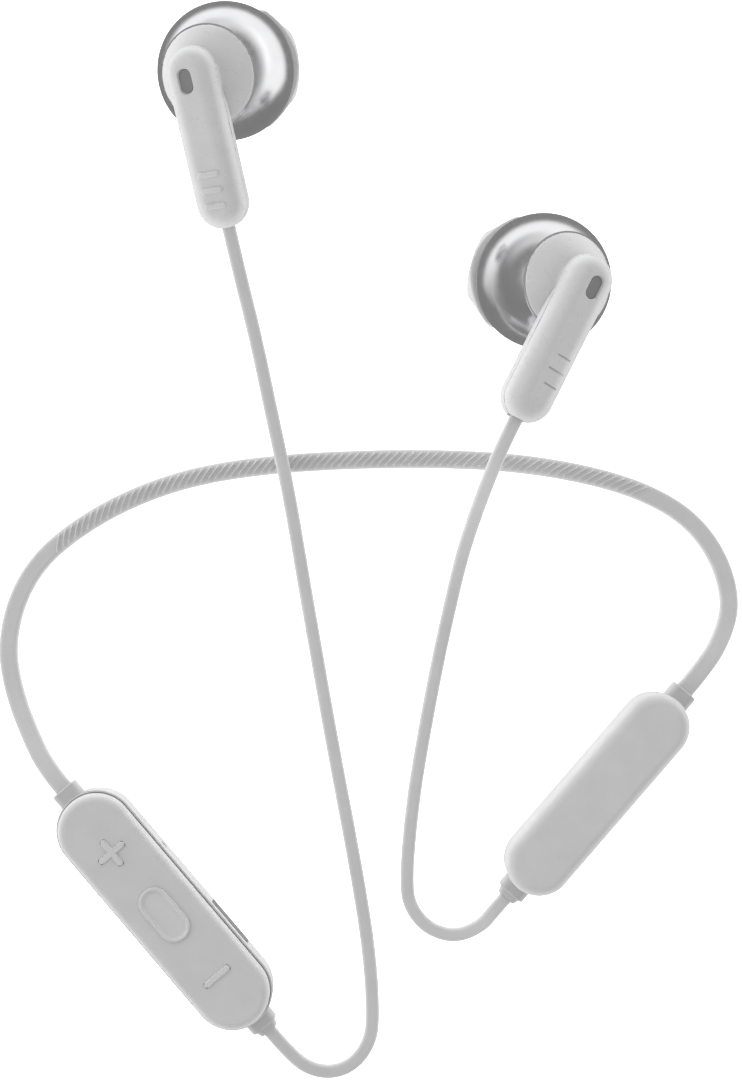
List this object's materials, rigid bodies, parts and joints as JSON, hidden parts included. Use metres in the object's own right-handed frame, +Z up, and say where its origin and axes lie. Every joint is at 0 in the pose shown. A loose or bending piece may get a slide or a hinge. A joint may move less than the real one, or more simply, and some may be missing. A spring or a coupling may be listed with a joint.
{
  "type": "neckband earphones",
  "caption": "Wireless neckband earphones laid flat: control box and battery box joined by a ribbed flat neck cable, with an open earbud on a thinner cable from each box.",
  "frame": {"origin": "on the table, under the middle of the box round the rigid pieces (the cables left out)", "axes": "+X to the right, +Y from the boxes towards the earbuds, +Z up from the table"},
  "size_m": [0.1023, 0.1473, 0.0182],
  "materials": {
    "shell_plastic": "fine satin",
    "key_plastic": "satin",
    "bud_plastic": "satin gloss",
    "collar_rubber": "matte",
    "cable_rubber": "matte",
    "bowl_metal": "satin",
    "grille_steel": "satin",
    "vent_cloth": "matte",
    "switch_plastic": "matte",
    "circuit_board": "semi-gloss",
    "plated_steel": "bright",
    "black_plastic": "matte",
    "clear_window": "clear",
    "cell_foil": "satin foil",
    "foam": "matte",
    "coil_copper": "enamelled copper",
    "film": "clear film"
  },
  "bodies": {
    "headset": {"remote_front_cover": "shell_plastic", "remote_rear_cover": "shell_plastic", "key_switches": "switch_plastic", "remote_circuit_board": "circuit_board", "usb_receptacle": "plated_steel", "usb_tongue": "black_plastic", "bluetooth_chip": "black_plastic", "microphone": "plated_steel", "status_light": "clear_window", "remote_neck_collar": "collar_rubber", "remote_bud_collar": "collar_rubber", "battery_front_cover": "shell_plastic", "battery_rear_cover": "shell_plastic", "battery_cell": "cell_foil", "battery_foam_pad": "foam", "battery_protection_board": "circuit_board", "battery_neck_collar": "collar_rubber", "battery_bud_collar": "collar_rubber", "neck_cable": "cable_rubber", "left_bud_cable": "cable_rubber", "right_bud_cable": "cable_rubber", "left_outer_shell": "bud_plastic", "left_stem_back": "bud_plastic", "left_metal_bowl": "bowl_metal", "left_front_shell": "bud_plastic", "left_nozzle_grille": "grille_steel", "left_vent_mesh": "vent_cloth", "left_cable_grommet": "collar_rubber", "left_driver_frame": "black_plastic", "left_yoke": "plated_steel", "left_magnet": "plated_steel", "left_top_plate": "plated_steel", "left_surround": "film", "right_outer_shell": "bud_plastic", "right_stem_back": "bud_plastic", "right_metal_bowl": "bowl_metal", "right_front_shell": "bud_plastic", "right_nozzle_grille": "grille_steel", "right_vent_mesh": "vent_cloth", "right_cable_grommet": "collar_rubber", "right_driver_frame": "black_plastic", "right_yoke": "plated_steel", "right_magnet": "plated_steel", "right_top_plate": "plated_steel", "right_surround": "film"},
    "volume_up_button": {"volume_up_key": "key_plastic", "volume_up_nub": "switch_plastic"},
    "play_button": {"play_key": "key_plastic", "play_nub": "switch_plastic"},
    "volume_down_button": {"volume_down_key": "key_plastic", "volume_down_nub": "switch_plastic"},
    "left_cone": {"left_voice_coil": "coil_copper", "left_diaphragm": "film"},
    "right_cone": {"right_voice_coil": "coil_copper", "right_diaphragm": "film"}
  },
  "joints": [
    {"name": "volume_up_press", "type": "slide", "parent": "headset", "child": "volume_up_button", "axis": [0, 0, -1], "range_m": [0, 0.0003], "stiffness_N_per_m": 1500},
    {"name": "play_press", "type": "slide", "parent": "headset", "child": "play_button", "axis": [0, 0, -1], "range_m": [0, 0.0003], "stiffness_N_per_m": 1500},
    {"name": "volume_down_press", "type": "slide", "parent": "headset", "child": "volume_down_button", "axis": [0, 0, -1], "range_m": [0, 0.0003], "stiffness_N_per_m": 1500},
    {"name": "left_cone_travel", "type": "slide", "parent": "headset", "child": "left_cone", "axis": [0.1308, -0.2018, 0.9707], "range_m": [-0.00025, 0.00025], "stiffness_N_per_m": 600},
    {"name": "right_cone_travel", "type": "slide", "parent": "headset", "child": "right_cone", "axis": [0.0497, 0.0863, 0.995], "range_m": [-0.00025, 0.00025], "stiffness_N_per_m": 600}
  ]
}
